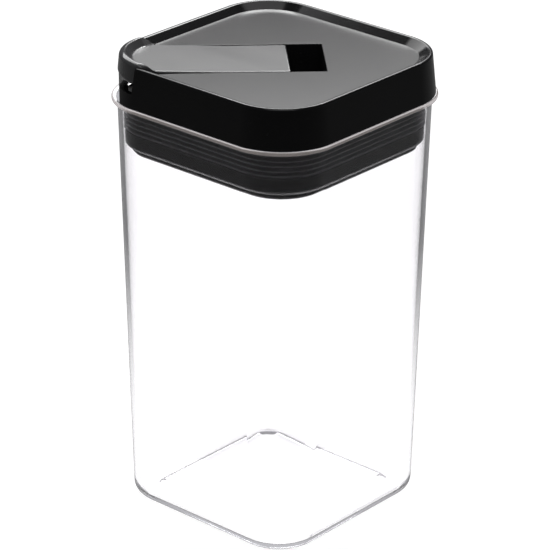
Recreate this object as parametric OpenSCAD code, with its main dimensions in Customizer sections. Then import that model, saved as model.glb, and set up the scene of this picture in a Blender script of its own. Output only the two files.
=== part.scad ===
// Square canister with a flip-lever lid.
// The lever pulls a cup up under the lid and squeezes a ribbed gasket against the mouth.
// Millimetres, +Z up, origin at the centre of the foot. The lever runs along the diagonal
// from the corner at -X -Y, and is drawn closed.

/* [Canister] */
// Outside width across the foot
foot_width = 90; // [84:0.5:94]
// Outside width across the mouth, under the flange
mouth_width = 99.2; // [97:0.2:104]
// Corner radius at the foot
foot_corner_r = 18; // [16:0.25:20]
// Height from the foot to the top of the flange
canister_height = 172; // [120:0.2:230]
// Thickness of the side walls
canister_wall = 1.8; // [1.4:0.1:2.4]
// Thickness of the floor
floor_thickness = 3; // [2.4:0.1:4.4]
// Rounding of the outside bottom edge
foot_edge_r = 5; // [2:0.25:6]
// Rounding between the floor and the walls, inside
floor_fillet_r = 3; // [1:0.25:4]
// Depth of the hollow under the floor
foot_hollow = 0.8; // [0.4:0.1:1.2]
// Width of the flat ring that the canister stands on
foot_ring_width = 5; // [3:0.25:8]
// How far the flange stands out from the mouth
flange_reach = 2.2; // [1.8:0.1:3]
// Thickness of the flange
flange_thickness = 1.8; // [1.4:0.1:2.6]

/* [Lid shell] */
// Height of the lid above the flange
lid_height = 16.2; // [15.6:0.1:17.5]
// How far the lid's lower edge stays in from the flange's edge
lid_setback = 0.8; // [0.5:0.1:1.4]
// How far the lid's sides lean in from bottom to top
lid_lean = 1.6; // [1:0.1:2.4]
// Thickness of the lid's sides
lid_wall = 2; // [1.6:0.1:2.4]
// Rounding of the rim's outer edge
rim_edge_r = 0.9; // [0.6:0.1:1.2]
// Flat width of the rim's crest
rim_crest = 0.2; // [0.1:0.1:0.5]
// Rounding where the rim's inner slope leaves the top plate
rim_hollow_r = 0.6; // [0.4:0.1:0.8]
// Rounding where that slope meets the crest
rim_shoulder_r = 1.4; // [1:0.1:1.6]
// Width from the lid's side to the top plate
rim_width = 5.4; // [5:0.1:6]
// Thickness of the ledge under the top plate
ledge_thickness = 1.5; // [1.2:0.1:1.8]
// Width of the ledge under the top plate
ledge_width = 2.4; // [2:0.1:3]
// Depth from the rim's crest to the step below the lever's hook
step_depth = 10.6; // [10:0.1:11.2]
// Thickness of the wall behind the finger flat
step_thickness = 3.5; // [2.5:0.1:4]
// How far the finger flat cuts into the corner
finger_flat_depth = 2.2; // [1:0.1:2.6]

/* [Top plate] */
// Depth of the plate's surface below the rim's crest
plate_drop = 2.5; // [2.3:0.1:2.9]
// Thickness of the plate
plate_thickness = 2; // [1.6:0.1:2.4]
// Gap between the plate's edge and the rim
plate_gap = 0.1; // [0.05:0.01:0.2]
// Depth of the trough's walls around the lever slot, below the plate
trough_depth = 14; // [8:0.5:16]
// Thickness of those walls
trough_wall = 1.2; // [0.8:0.1:1.6]
// Gap between the trough's corners and the housing's wall
trough_gap = 0.6; // [0.4:0.1:1]
// Distance from the lid's centre to the far end of the well
well_reach = 18.8; // [17.8:0.1:20]

/* [Lever] */
// Width of the lever
lever_width = 29.4; // [26:0.2:30]
// Distance from the lid's centre to the lever's inner end
lever_inner_reach = 5; // [4.6:0.1:5.2]
// Thickness of the lever's arm
lever_thickness = 3; // [2.4:0.1:3.2]
// Rise of the arm towards its corner end
lever_rise = 1.2; // [0.6:0.1:1.5]
// Distance from the lid's centre to where the arm starts to rise
lever_rise_start = 20; // [16:0.5:26]
// Depth of the ribs under the arm's long edges
lever_rib_depth = 3; // [2:0.1:4]
// Thickness of those ribs
lever_rib_wall = 1.6; // [1.2:0.1:2]
// How much wider the hook is than the arm, on each side
hook_flare = 0.6; // [0.4:0.1:1.2]
// How far the hook's face stays in from the lid's side
hook_setback = 0.7; // [0.4:0.1:1]
// Height of the hook's crest above the rim
hook_crest = 1.6; // [1.2:0.1:2]
// Thickness of the hook's outer wall
hook_wall = 2.4; // [2.3:0.1:2.8]
// Rounding of the hook's upper edge
hook_edge_r = 2.2; // [1.6:0.1:2.4]
// Rounding of the upper corners at the hook's two ends
hook_end_r = 2; // [1:0.1:2.4]
// How far inside the plate's edge the arm starts to rise into the hook
hook_root = 1; // [0.8:0.1:1.4]
// Rounding where the arm rises into the hook
hook_hollow_r = 1.6; // [1.2:0.1:1.8]
// Rounding where that slope meets the hook's crest
hook_shoulder_r = 0.9; // [0.6:0.1:1]
// Rounding of the hook's lower lip
hook_lip_r = 2.2; // [1.4:0.1:2.2]
// Gap between the hook's lip and the step below it
hook_gap = 2.9; // [2.4:0.1:3.4]
// Gap beside the lever, in the slot and in the rim
lever_side_gap = 0.4; // [0.2:0.05:0.6]

/* [Cam] */
// Depth of the pivot below the lever's top face
pivot_depth = 15.3; // [14.9:0.1:15.5]
// Distance of the pivot from the stem's axis, towards the well
pivot_offset = 1.5; // [1.3:0.1:1.8]
// Drop of the cup when the lever stands upright
cup_drop = 2.5; // [1.5:0.1:2.5]
// Height of the pivot above the cam plate's face, closed
cam_height = 6.5; // [6.3:0.1:6.7]
// Running gap under the cams
cam_gap = 0.2; // [0.15:0.01:0.3]
// Thickness of each cam cheek
cheek_thickness = 4; // [3:0.1:5]
// Running gap between the cheeks and the stem's head
cheek_gap = 0.3; // [0.2:0.05:0.5]
// Reach of each cheek along the arm
cheek_reach = 15; // [12:0.5:20]
// Radius of the pivot pin
pin_r = 1.75; // [1.5:0.05:2]
// Running clearance around the pivot pin
pin_clearance = 0.05; // [0.02:0.01:0.08]
// Thickness of the cam plate
cam_plate_thickness = 0.8; // [0.6:0.1:1.2]
// Length of the cam plate
cam_plate_length = 22; // [18:1:26]
// Width of the cam plate
cam_plate_width = 24; // [22:1:28]

/* [Housing and gasket] */
// Thickness of the housing's floor
housing_floor = 2; // [1.6:0.1:2.2]
// Thickness of the housing's wall
housing_wall = 2; // [1.6:0.1:2.4]
// Thickness of the flange above the gasket
housing_flange = 2.3; // [1.8:0.1:2.6]
// Gap between the housing's flange and the mouth
housing_gap = 0.8; // [0.5:0.1:1.2]
// Width of the gasket from its bore to its root
gasket_width = 3.9; // [3.4:0.1:4.4]
// Reach of each rib on the gasket
rib_reach = 1.2; // [0.8:0.1:1.4]
// Height of each rib at its root
rib_root = 1.4; // [1:0.1:1.6]
// Height of each rib at its tip
rib_tip = 0.6; // [0.4:0.1:0.8]
// Distance from rib to rib
rib_pitch = 2; // [1.9:0.05:2.1]
// Number of ribs
rib_count = 4; // [3:1:4]
// Height of the gasket, squeezed
gasket_height = 10.2; // [9.8:0.1:10.8]
// Gap between the ribs and the mouth
rib_gap = 0.3; // [0.2:0.05:0.4]
// Gap between the gasket's bore and what it wraps
gasket_bore_gap = 0.3; // [0.2:0.05:0.4]
// Wall of the tube that guides the stem
guide_wall = 2.4; // [1.8:0.1:3]
// Gap between the guide tube and the cup's boss, closed
guide_gap = 1.4; // [1:0.1:2]

/* [Cup and stem] */
// Height of the cup's side below the gasket
cup_side = 9.2; // [8.8:0.1:10.4]
// Thickness of the cup
cup_wall = 2; // [1.8:0.1:2.4]
// How far the cup's side stays in from the ribs
cup_setback = 0.4; // [0.3:0.1:1]
// Rounding of the cup's lower edge, above its foot
cup_edge_r = 2.2; // [1.6:0.1:2.3]
// How far the cup's foot stays in from its side
cup_foot_inset = 2.4; // [2.4:0.1:2.8]
// Height of that foot
cup_foot_height = 2.4; // [1.8:0.1:2.5]
// Rounding of the foot's edge
cup_foot_r = 1.2; // [0.8:0.1:1.2]
// Rounding between the cup's floor and side, inside
cup_fillet_r = 3.4; // [3.2:0.1:3.8]
// Height of the cup's spigot inside the gasket
spigot_height = 1.4; // [1:0.1:1.6]
// Height of the boss under the stem
boss_height = 2; // [1.4:0.1:2.4]
// Radius of that boss
boss_r = 6.5; // [6:0.1:8]
// Radius of the stem
stem_r = 4.5; // [4.2:0.1:4.8]
// Running clearance around the stem
stem_clearance = 0.05; // [0.02:0.01:0.08]
// Radius of the stem's head around the pin
head_r = 3.8; // [3.6:0.1:4]
// Half thickness of the stem's head
head_half = 4.1; // [3.8:0.1:4.1]

/* [Screws] */
// Radius of the stem screw's shank
stem_screw_r = 2; // [1.5:0.1:2.2]
// Radius of the stem screw's head
stem_screw_head_r = 3.8; // [3.4:0.1:4]
// Height of the stem screw's head
stem_screw_head = 1.8; // [1.4:0.1:1.9]
// Length of the stem screw's shank
stem_screw_length = 9; // [7:0.5:11]
// Radius of the sealing washer
washer_r = 4.2; // [4:0.1:4.4]
// Thickness of the sealing washer
washer_thickness = 0.6; // [0.4:0.1:0.8]
// Distance of the lid's screws from the housing's wall
post_inset = 4.6; // [4:0.1:6]
// Radius of the lid's screw posts
post_r = 3.5; // [3:0.1:3.6]
// Radius of the lid's screws
lid_screw_r = 1.2; // [1:0.1:1.4]
// Radius of the lid's screw heads
lid_screw_head_r = 2.8; // [2.4:0.1:3]
// Height of the lid's screw heads
lid_screw_head = 1.8; // [1.2:0.1:2]
// Length of the lid's screws below their heads
lid_screw_length = 12; // [9:0.5:14]
// Clearance around a screw in its hole
screw_clearance = 0.05; // [0.03:0.01:0.1]
// Extra radius of a hole that a screw passes through
screw_passage = 0.4; // [0.2:0.05:0.6]

/* [Hidden] */
$fn = 96;

// Overrun that lets a cut break cleanly through a face
over = 1;
// Steps along a quarter round in an outline, and along the cam's curve
arc_steps = 6;
cam_steps = 18;
quarter = 90;
lever_heading = 45;

// Every wall is concentric at the corners: outlines are drawn outwards from this square
centre = foot_width / 2 - foot_corner_r;
corner_axis = centre * sqrt(2);

// Canister, as offsets from the square of corner centres
foot_off = foot_width / 2 - centre;
mouth_off = mouth_width / 2 - centre;
flange_off = mouth_off + flange_reach;

// Heights in the lid
rim_z = canister_height + lid_height;
plate_z = rim_z - plate_drop;
plate_under_z = plate_z - plate_thickness;
ledge_under_z = plate_under_z - ledge_thickness;
step_z = rim_z - step_depth;
hook_lip_z = step_z + hook_gap;
hook_crest_z = rim_z + hook_crest;
hook_top_z = hook_crest_z - hook_edge_r;
hook_bottom_z = hook_lip_z + hook_lip_r;
arm_end_z = plate_z + lever_rise;
pivot_z = plate_z - pivot_depth;
cam_plate_z = pivot_z - cam_height - cam_gap;
housing_under_z = cam_plate_z - housing_floor;
gasket_top_z = canister_height - housing_flange;
gasket_foot_z = gasket_top_z - gasket_height;
cup_foot_z = gasket_foot_z - cup_side;
cup_floor_z = cup_foot_z + cup_wall;
boss_z = cup_floor_z + boss_height;

// Offsets in the lid
lid_off = flange_off - lid_setback;
plate_off = lid_off - lid_lean - rim_width;
ledge_off = plate_off - ledge_width;
rib_off = mouth_in(gasket_foot_z) - rib_gap;
gasket_off = rib_off - rib_reach;
gasket_bore_off = gasket_off - gasket_width;
housing_off = gasket_bore_off - gasket_bore_gap;
housing_in = housing_off - housing_wall;
cup_off = rib_off - cup_setback;
post_reach = centre + housing_in - post_inset;

// Distances along and across the lever
lever_half = lever_width / 2;
hook_half = lever_half + hook_flare;
slot_half = lever_half + lever_side_gap;
notch_half = hook_half + lever_side_gap;
finger_flat = corner_axis + lid_off - finger_flat_depth;
hook_start = corner_axis + (plate_off - hook_root) * sqrt(2) - notch_half;
step_back = finger_flat - step_thickness;
cheek_inner = head_half + cheek_gap;
cheek_outer = cheek_inner + cheek_thickness;
trough_half = slot_half + trough_wall;
trough_start = trough_half - (centre + housing_in - trough_gap) * sqrt(2);
// Fall of the pivot per radian of the lever's turn
cam_rate = cup_drop / (PI / 2);

// Offset of the canister's outer and inner wall at a height
function wall_out(z) = foot_off + (mouth_off - foot_off) * z / canister_height;
function mouth_in(z) = wall_out(z) - canister_wall;
// Offset of the lid's side at a height
function lid_out(z) = lid_off - lid_lean * (z - canister_height) / lid_height;
// Offset of the hook's face at a height
function hook_out(z) = lid_out(z) - hook_setback;
// Points along an arc, from one angle to another
function arc(middle, r, from, to, steps = arc_steps) =
    [for (i = [0:steps]) let (a = from + (to - from) * i / steps)
        middle + r * [cos(a), sin(a)]];
// Points down a slope, from a high level over a shoulder into a hollow at a low level
function dished_slope(low, high, hollow_r, shoulder_r) =
    let (both = hollow_r + shoulder_r, run = high.x - low.x, rise = high.y - low.y - both)
    let (slope = atan2(rise, run) + atan2(both, sqrt(run * run + rise * rise - both * both)))
    concat(arc(high - [0, shoulder_r], shoulder_r, quarter, quarter + slope),
           arc(low + [0, hollow_r], hollow_r, slope - quarter, -quarter));
// The same points, last to first
function reversed(points) = [for (i = [1:len(points)]) points[len(points) - i]];
// Point of the cam that meets the flat plate when the lever has turned by an angle
function cam_point(a) = let (h = cam_height - cup_drop * a / quarter)
    [h * sin(a) - cam_rate * cos(a), -h * cos(a) - cam_rate * sin(a)];

// Carries an outline around the square: straight along each side, turned at each corner
module around() {
    for (side = [0:3]) rotate([0, 0, quarter * side]) translate([centre, centre, 0]) {
        rotate_extrude(angle = quarter) children();
        rotate([quarter, 0, 0]) linear_extrude(2 * centre) children();
    }
}

// Level slab that fills the square of corner centres
module middle_slab(low, high) {
    translate([-centre, -centre, low]) cube([2 * centre, 2 * centre, high - low]);
}

// Turns +X onto the lever's diagonal, so that the hook end points to -X
module along_lever() {
    rotate([0, 0, lever_heading]) children();
}

// Block along the lever, centred across it
module lever_block(from, to, half, low, high) {
    translate([from, -half, low]) cube([to - from, 2 * half, high - low]);
}

// Extrudes an outline, drawn along the lever and up, across the lever
module across_lever(low, high) {
    translate([0, high, 0]) rotate([quarter, 0, 0]) linear_extrude(high - low) children();
}

// Places copies at the lid's four screws
module at_posts() {
    for (side = [0:3]) rotate([0, 0, quarter * side]) translate([post_reach, 0, 0]) children();
}

module canister_outline() {
    ring = foot_off - foot_edge_r - foot_ring_width;
    fillet_z = floor_thickness + floor_fillet_r;
    flange_r = flange_thickness / 2;
    polygon(concat(
        [[0, foot_hollow], [ring - foot_hollow, foot_hollow], [ring, 0]],
        arc([wall_out(foot_edge_r) - foot_edge_r, foot_edge_r], foot_edge_r, -quarter, 0),
        [[wall_out(canister_height - flange_thickness), canister_height - flange_thickness]],
        arc([flange_off - flange_r, canister_height - flange_r], flange_r, -quarter, quarter),
        [[mouth_in(canister_height), canister_height]],
        arc([mouth_in(fillet_z) - floor_fillet_r, fillet_z], floor_fillet_r, 0, -quarter),
        [[0, floor_thickness]]
    ));
}

module canister() {
    color("lavender") {
        around() canister_outline();
        middle_slab(foot_hollow, floor_thickness);
    }
}

// Side, rim and ledge of the lid
module shell_outline() {
    edge_off = lid_out(rim_z) - rim_edge_r;
    polygon(concat(
        [[lid_off - lid_wall, canister_height], [lid_off, canister_height]],
        arc([edge_off, rim_z - rim_edge_r], rim_edge_r, 0, quarter),
        dished_slope([plate_off, plate_z], [edge_off - rim_crest, rim_z], rim_hollow_r,
            rim_shoulder_r),
        [[plate_off, plate_under_z], [ledge_off, plate_under_z], [ledge_off, ledge_under_z],
         [lid_out(ledge_under_z) - lid_wall, ledge_under_z]]
    ));
}

// Filled corner of the lid, up to the step below the hook
module corner_block() {
    intersection() {
        translate([-corner_axis, 0, 0]) rotate_extrude() polygon([
            [0, canister_height], [lid_off, canister_height], [lid_out(step_z), step_z],
            [0, step_z]
        ]);
        lever_block(-corner_axis - lid_off, -step_back, notch_half, canister_height, step_z);
    }
}

module screw_post() {
    rib_half = lid_wall / 2;
    rib_end = centre + ledge_off - post_reach + over;
    translate([0, 0, cam_plate_z]) cylinder(h = plate_under_z - cam_plate_z, r = post_r);
    translate([0, -rib_half, canister_height + lid_wall])
        cube([rib_end, lid_wall, plate_under_z - canister_height - lid_wall]);
}

module lid_shell() {
    color([0.05, 0.05, 0.06]) difference() {
        union() {
            difference() {
                around() shell_outline();
                along_lever() lever_block(-corner_axis - flange_off, -corner_axis,
                    notch_half, step_z, rim_z + over);
            }
            along_lever() corner_block();
            at_posts() screw_post();
        }
        along_lever() lever_block(-corner_axis - flange_off, -finger_flat, notch_half,
            canister_height - over, step_z + over);
        at_posts() translate([0, 0, cam_plate_z - over])
            cylinder(h = lid_screw_length + over, r = lid_screw_r + screw_clearance);
    }
}

module top_plate() {
    edge = plate_off - plate_gap;
    trough_z = plate_under_z - trough_depth;
    color([0.3, 0.3, 0.3]) difference() {
        union() {
            around() translate([0, plate_under_z]) square([edge, plate_thickness]);
            middle_slab(plate_under_z, plate_z);
            along_lever() lever_block(trough_start, well_reach + trough_wall, trough_half,
                trough_z, plate_z);
        }
        along_lever() lever_block(-corner_axis - plate_off - over, well_reach, slot_half,
            trough_z - over, plate_z + over);
        along_lever() lever_block(-corner_axis - plate_off - over, -hook_start, notch_half,
            plate_under_z - over, plate_z + over);
    }
}

module housing_outline() {
    flange_edge = mouth_in(canister_height) - housing_gap;
    polygon([
        [0, housing_under_z], [housing_off, housing_under_z], [housing_off, gasket_top_z],
        [flange_edge, gasket_top_z], [flange_edge, canister_height],
        [housing_in, canister_height], [housing_in, cam_plate_z], [0, cam_plate_z]
    ]);
}

module cam_plate_blank(grow, low, high) {
    along_lever() lever_block(-cam_plate_length / 2 - grow, cam_plate_length / 2 + grow,
        cam_plate_width / 2 + grow, low, high);
}

module inner_housing() {
    tube_z = boss_z + guide_gap;
    bore_r = stem_r + stem_clearance;
    color([0.1, 0.1, 0.1]) difference() {
        union() {
            around() housing_outline();
            middle_slab(housing_under_z, cam_plate_z);
            translate([0, 0, tube_z])
                cylinder(h = cam_plate_z - cam_plate_thickness - tube_z, r = bore_r + guide_wall);
        }
        cam_plate_blank(plate_gap, cam_plate_z - cam_plate_thickness, cam_plate_z + over);
        translate([0, 0, tube_z - over])
            cylinder(h = cam_plate_z - tube_z + 2 * over, r = bore_r);
        at_posts() translate([0, 0, housing_under_z - over])
            cylinder(h = housing_floor + 2 * over, r = lid_screw_r + screw_passage);
    }
}

module cam_plate() {
    color("silver") difference() {
        cam_plate_blank(0, cam_plate_z - cam_plate_thickness, cam_plate_z);
        translate([0, 0, cam_plate_z - cam_plate_thickness - over])
            cylinder(h = cam_plate_thickness + 2 * over, r = stem_r + screw_passage);
    }
}

module lid_screws() {
    color("silver") at_posts() {
        translate([0, 0, housing_under_z - lid_screw_head])
            cylinder(h = lid_screw_head, r = lid_screw_head_r);
        translate([0, 0, housing_under_z - lid_screw_head])
            cylinder(h = lid_screw_head + lid_screw_length, r = lid_screw_r);
    }
}

// Gasket band with its row of tapered ribs
module gasket_outline() {
    first_rib = rib_root / 2 + (gasket_height - rib_root - (rib_count - 1) * rib_pitch) / 4;
    translate([gasket_bore_off, 0]) square([gasket_width, gasket_height]);
    for (i = [0:rib_count - 1]) translate([gasket_off, first_rib + i * rib_pitch]) polygon([
        [-over, -rib_root / 2], [0, -rib_root / 2], [rib_reach, -rib_tip / 2],
        [rib_reach, rib_tip / 2], [0, rib_root / 2], [-over, rib_root / 2]
    ]);
}

module gasket() {
    color([0.15, 0.15, 0.15]) translate([0, 0, gasket_foot_z]) around() gasket_outline();
}

module cup_outline() {
    shoulder_z = gasket_foot_z;
    spigot_z = shoulder_z + spigot_height;
    side_in = cup_off - cup_wall;
    foot_side = cup_off - cup_foot_inset;
    tier_z = cup_foot_z + cup_foot_height;
    polygon(concat(
        [[0, cup_foot_z]],
        arc([foot_side - cup_foot_r, cup_foot_z + cup_foot_r], cup_foot_r, -quarter, 0),
        [[foot_side, tier_z]],
        arc([cup_off - cup_edge_r, tier_z + cup_edge_r], cup_edge_r, -quarter, 0),
        [[cup_off, shoulder_z], [housing_off, shoulder_z], [housing_off, spigot_z],
         [housing_in, spigot_z], [housing_in, shoulder_z - cup_wall],
         [side_in, shoulder_z - cup_wall]],
        arc([side_in - cup_fillet_r, cup_floor_z + cup_fillet_r], cup_fillet_r, 0, -quarter),
        [[0, cup_floor_z]]
    ));
}

module pressure_cup() {
    recess = stem_screw_head + washer_thickness;
    color([0.08, 0.08, 0.08]) difference() {
        union() {
            around() cup_outline();
            middle_slab(cup_foot_z, cup_floor_z);
            translate([0, 0, cup_foot_z]) cylinder(h = boss_z - cup_foot_z, r = boss_r);
        }
        translate([0, 0, cup_foot_z - over]) cylinder(h = recess + over, r = washer_r + screw_clearance);
        translate([0, 0, cup_foot_z]) cylinder(h = boss_z, r = stem_screw_r + screw_passage);
    }
}

// Round stem, flattened at its head to carry the pivot
module pull_stem() {
    color([0.2, 0.2, 0.2]) along_lever() difference() {
        union() {
            difference() {
                translate([0, 0, boss_z]) cylinder(h = pivot_z - boss_z, r = stem_r);
                for (side = [-1, 1]) translate([0, side * (head_half + stem_r / 2), 0])
                    lever_block(-stem_r - over, stem_r + over, stem_r / 2, cam_plate_z,
                        pivot_z + over);
            }
            translate([pivot_offset, 0, pivot_z]) rotate([quarter, 0, 0])
                cylinder(h = 2 * head_half, r = head_r, center = true);
        }
        translate([pivot_offset, 0, pivot_z]) rotate([quarter, 0, 0])
            cylinder(h = 2 * head_half + 2 * over, r = pin_r + pin_clearance, center = true);
        translate([0, 0, boss_z - over])
            cylinder(h = stem_screw_length + over, r = stem_screw_r + screw_clearance);
    }
}

module stem_screw() {
    color("silver") {
        translate([0, 0, cup_foot_z]) cylinder(h = stem_screw_head, r = stem_screw_head_r);
        translate([0, 0, cup_foot_z]) cylinder(h = boss_z - cup_foot_z + stem_screw_length - over,
            r = stem_screw_r);
    }
}

module sealing_washer() {
    color([0.2, 0.2, 0.2]) translate([0, 0, cup_foot_z + stem_screw_head]) difference() {
        cylinder(h = washer_thickness, r = washer_r);
        translate([0, 0, -over])
            cylinder(h = washer_thickness + 2 * over, r = stem_screw_r + screw_clearance);
    }
}

// Side view of the arm: level over the lid, rising a little to the corner
module arm_outline() {
    tip = corner_axis + plate_off;
    polygon([
        [lever_inner_reach, plate_z], [-lever_rise_start, plate_z], [-tip, arm_end_z],
        [-tip, arm_end_z - lever_thickness], [-lever_rise_start, plate_z - lever_thickness],
        [lever_inner_reach, plate_z - lever_thickness]
    ]);
}

// Rim bead and finger hook at the lever's corner end
module hook_outline() {
    under_z = arm_end_z - lever_thickness;
    root_off = plate_off - hook_root;
    crest_off = hook_out(hook_top_z) - hook_edge_r;
    inner_off = hook_out(hook_bottom_z) - hook_wall;
    polygon(concat(
        [[inner_off, hook_lip_z], [inner_off, under_z], [root_off, under_z]],
        reversed(dished_slope([root_off, arm_end_z], [crest_off, hook_crest_z],
            hook_hollow_r, hook_shoulder_r)),
        arc([crest_off, hook_top_z], hook_edge_r, quarter, 0),
        arc([hook_out(hook_bottom_z) - hook_lip_r, hook_bottom_z], hook_lip_r, 0, -quarter)
    ));
}

// Space that the hook fills, seen along the lever, with its upper corners rounded
module hook_space() {
    top_z = hook_crest_z + hook_end_r / 4;
    corner = hook_half - hook_end_r;
    rotate([quarter, 0, quarter]) translate([0, 0, -corner_axis - flange_off])
        linear_extrude(flange_off) polygon(concat(
            [[-hook_half, step_z], [hook_half, step_z]],
            arc([corner, top_z - hook_end_r], hook_end_r, 0, quarter),
            arc([-corner, top_z - hook_end_r], hook_end_r, quarter, 2 * quarter)
        ));
}

// Cam cheek, drawn around the pivot
module cheek_outline() {
    root_z = pivot_depth - lever_thickness + over;
    side = cam_height - cup_drop;
    end = lever_inner_reach - pivot_offset;
    polygon(concat(
        [for (i = [0:cam_steps]) cam_point(quarter * i / cam_steps)],
        [[side, pin_r], [end - over, root_z], [-cheek_reach, root_z],
         [-cam_height + over, 0], [-cam_height + over, -cam_height]]
    ));
}

module lever() {
    rib_z = plate_z - lever_thickness - lever_rib_depth;
    rib_half = lever_rib_wall / 2;
    color([0.35, 0.35, 0.35]) difference() {
        union() {
            intersection() {
                around() hook_outline();
                along_lever() hook_space();
            }
            along_lever() across_lever(-lever_half, lever_half) arm_outline();
            for (side = [-1, 1]) along_lever() {
                translate([0, side * (lever_half - rib_half), 0])
                    lever_block(-corner_axis, lever_inner_reach, rib_half, rib_z,
                        plate_z - lever_thickness / 2);
                translate([pivot_offset, side * (cheek_inner + cheek_outer) / 2, pivot_z])
                    across_lever(-cheek_thickness / 2, cheek_thickness / 2) cheek_outline();
            }
        }
        along_lever() translate([pivot_offset, 0, pivot_z]) rotate([quarter, 0, 0])
            cylinder(h = 2 * cheek_outer + 2 * over, r = pin_r + pin_clearance, center = true);
    }
}

module lever_pin() {
    color("silver") along_lever() translate([pivot_offset, 0, pivot_z]) rotate([quarter, 0, 0])
        cylinder(h = 2 * cheek_outer, r = pin_r, center = true);
}

canister();
lid_shell();
top_plate();
inner_housing();
cam_plate();
lid_screws();
gasket();
pressure_cup();
pull_stem();
stem_screw();
sealing_washer();
lever();
lever_pin();
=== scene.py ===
"""Dresses a square canister with a flip-lever lid: pieces, finishes, studio and camera.

Sizes are millimetres in the part's own frame: +Z up, origin at the centre of the foot. The
lever runs along the diagonal from the corner at -X -Y; u counts along it, towards +X +Y, and
v across it, towards -X +Y.
"""
import logging
import math
from contextlib import contextmanager
from dataclasses import dataclass, field
from enum import Enum
from typing import ClassVar, Iterable, Iterator, Sequence, Union

import bmesh
import bpy
from bmesh.types import BMEdge, BMesh, BMVert
from bpy.types import ID, Material, Node, NodeSocket, NodeTree, Object
from mathutils import Matrix, Quaternion, Vector


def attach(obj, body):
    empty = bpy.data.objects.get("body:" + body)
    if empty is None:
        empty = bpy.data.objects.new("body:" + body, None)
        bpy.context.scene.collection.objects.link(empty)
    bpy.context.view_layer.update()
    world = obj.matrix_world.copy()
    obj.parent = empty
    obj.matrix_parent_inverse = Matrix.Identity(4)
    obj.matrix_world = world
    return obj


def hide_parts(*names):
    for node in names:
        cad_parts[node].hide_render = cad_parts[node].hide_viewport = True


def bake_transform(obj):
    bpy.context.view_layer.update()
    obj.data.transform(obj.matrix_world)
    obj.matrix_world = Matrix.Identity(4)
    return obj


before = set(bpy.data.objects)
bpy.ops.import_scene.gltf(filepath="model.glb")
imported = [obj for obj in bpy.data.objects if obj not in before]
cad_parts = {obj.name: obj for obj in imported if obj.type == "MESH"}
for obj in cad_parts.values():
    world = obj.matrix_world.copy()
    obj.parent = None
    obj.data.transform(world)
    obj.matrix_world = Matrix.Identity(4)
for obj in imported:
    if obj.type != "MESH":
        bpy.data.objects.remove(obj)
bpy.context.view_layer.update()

LOG = logging.getLogger("canister")
FRAME_WIDTH = 550

MM = 0.001  # a millimetre, in metres; the lengths below are millimetres
QUARTER = math.pi / 2
DIAGONAL = math.sqrt(2)
WELD = 1e-4  # distance within which two points are one
BEYOND = 120.0  # a length that reaches past the whole lid
PAST = 9.0  # how far a cutter stands past what it cuts
LAP = 0.5  # how far a joined solid reaches into its neighbour
SKIN = 0.02  # how far a hidden face stays inside the one that covers it

Point = tuple[float, float]
Colour = tuple[float, float, float, float]
Sockets = bpy.types.bpy_prop_collection
Feed = Union[float, Sequence[float], NodeSocket]


class Body(Enum):
    """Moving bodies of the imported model."""

    BASE = "base"
    LID = "lid"
    CUP = "cup"
    HANDLE = "handle"


class Slot(Enum):
    """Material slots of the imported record."""

    CLEAR = "clear_wall"
    SHELL = "shell_gloss"
    CUP = "cup_gloss"
    PLATE = "plate_satin"
    LEVER = "lever_satin"
    HOUSING = "housing_plastic"
    SILICONE = "silicone"
    STEM = "stem_plastic"
    STEEL = "steel"


class Join(Enum):
    """Ways to combine two solids."""

    ADD = "UNION"
    CUT = "DIFFERENCE"


@dataclass(frozen=True)
class Gauge:
    """Heights and offsets that several pieces share.

    An offset is the distance outwards from the square whose corners are the centres of the
    rounded corners, so every wall is concentric there.
    """

    corner: float = 27.0
    foot_off: float = 18.0
    mouth_off: float = 22.6
    mouth_z: float = 172.0
    lid_off: float = 24.0
    rim_off: float = 22.4
    rim_z: float = 188.2
    plate_z: float = 185.7
    plate_off: float = 17.0
    step_z: float = 177.6
    pivot_u: float = 1.5
    pivot_z: float = 170.4
    gasket_foot_z: float = 159.5
    gasket_top_z: float = 169.7
    seam_reach: float = 0.2
    seam_level: float = 0.05

    @property
    def corner_u(self) -> float:
        """Distance of a corner's centre from the axis, along the diagonal."""
        return self.corner * DIAGONAL

    def lid_out(self, z: float) -> float:
        """Offset of the lid's side at a height."""
        share = (z - self.mouth_z) / (self.rim_z - self.mouth_z)
        return self.lid_off + (self.rim_off - self.lid_off) * share

    def wall_out(self, z: float) -> float:
        """Offset of the canister's outer wall at a height."""
        return self.foot_off + (self.mouth_off - self.foot_off) * z / self.mouth_z

    def on_seam(self, point: Vector) -> bool:
        """Whether a point lies on the line where the plate meets the rim.

        Args:
            point: The point, in millimetres.

        Returns:
            True on that line.
        """
        off = math.hypot(*(max(abs(x) - self.corner, 0.0) for x in point.xy))
        level = abs(point.z - self.plate_z) < self.seam_level
        return level and abs(off - self.plate_off) < self.seam_reach


GAUGE = Gauge()


# ---------------------------------------------------------------- outlines


def arc(middle: Point, r: float, start: float, end: float, steps: int = 6) -> list[Point]:
    """Points along an arc of an outline.

    Args:
        middle: Centre of the arc, as offset and height.
        r: Radius.
        start: First angle in degrees, from the offset axis.
        end: Last angle in degrees.
        steps: Number of steps.

    Returns:
        The points, from start to end.
    """
    turns = [math.radians(start + (end - start) * i / steps) for i in range(steps + 1)]
    return [(middle[0] + r * math.cos(a), middle[1] + r * math.sin(a)) for a in turns]


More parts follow.
